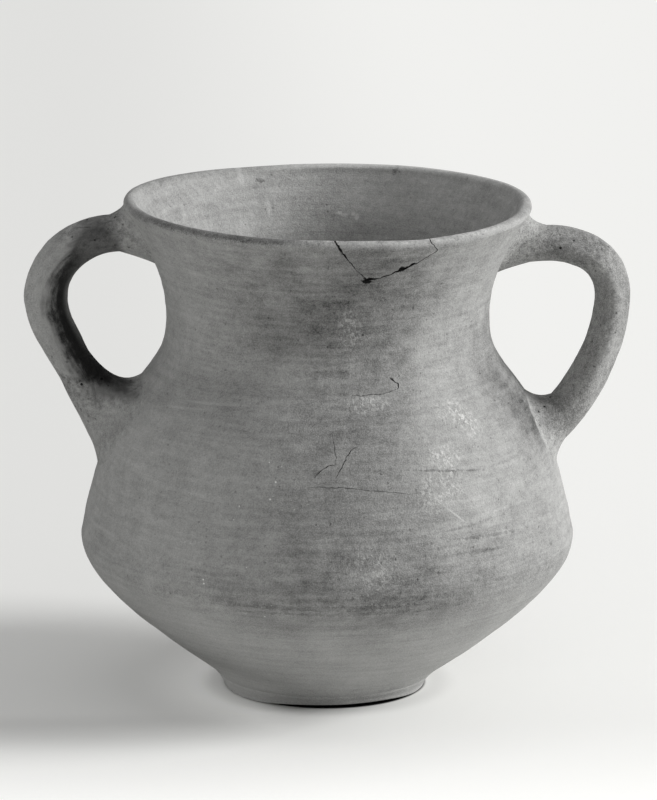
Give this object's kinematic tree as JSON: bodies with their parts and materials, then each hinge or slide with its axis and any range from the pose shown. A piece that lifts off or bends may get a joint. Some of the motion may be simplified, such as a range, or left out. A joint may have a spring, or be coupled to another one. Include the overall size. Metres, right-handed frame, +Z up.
{
  "type": "two-handled jar",
  "caption": "Round-bellied grey clay jar on a small flat foot, with a flaring neck and a looped handle on each side for lifting and pouring.",
  "frame": {"origin": "middle of the jar's plan on the surface that the foot stands on", "axes": "+Z up along the jar's axis; X runs through both handles, with the left handle of the picture on -X; the picture looks along +Y"},
  "size_m": [0.2058, 0.1686, 0.1703],
  "materials": {
    "body_clay": "matt unglazed fired clay, wiped and turned, mid grey",
    "sherd_clay": "matt unglazed fired clay, a little paler than the body",
    "left_handle_clay": "matt unglazed fired clay, smoke-darkened",
    "right_handle_clay": "matt unglazed fired clay, grainy"
  },
  "bodies": {
    "root": {"foot_disc": "body_clay", "bowl_wall": "body_clay", "shoulder_wall": "body_clay", "neck_wall": "body_clay", "rim_sherd": "sherd_clay", "left_handle": "left_handle_clay", "left_upper_lute": "left_handle_clay", "left_lower_lute": "left_handle_clay", "right_handle": "right_handle_clay", "right_upper_lute": "right_handle_clay", "right_lower_lute": "right_handle_clay"}
  },
  "joints": []
}
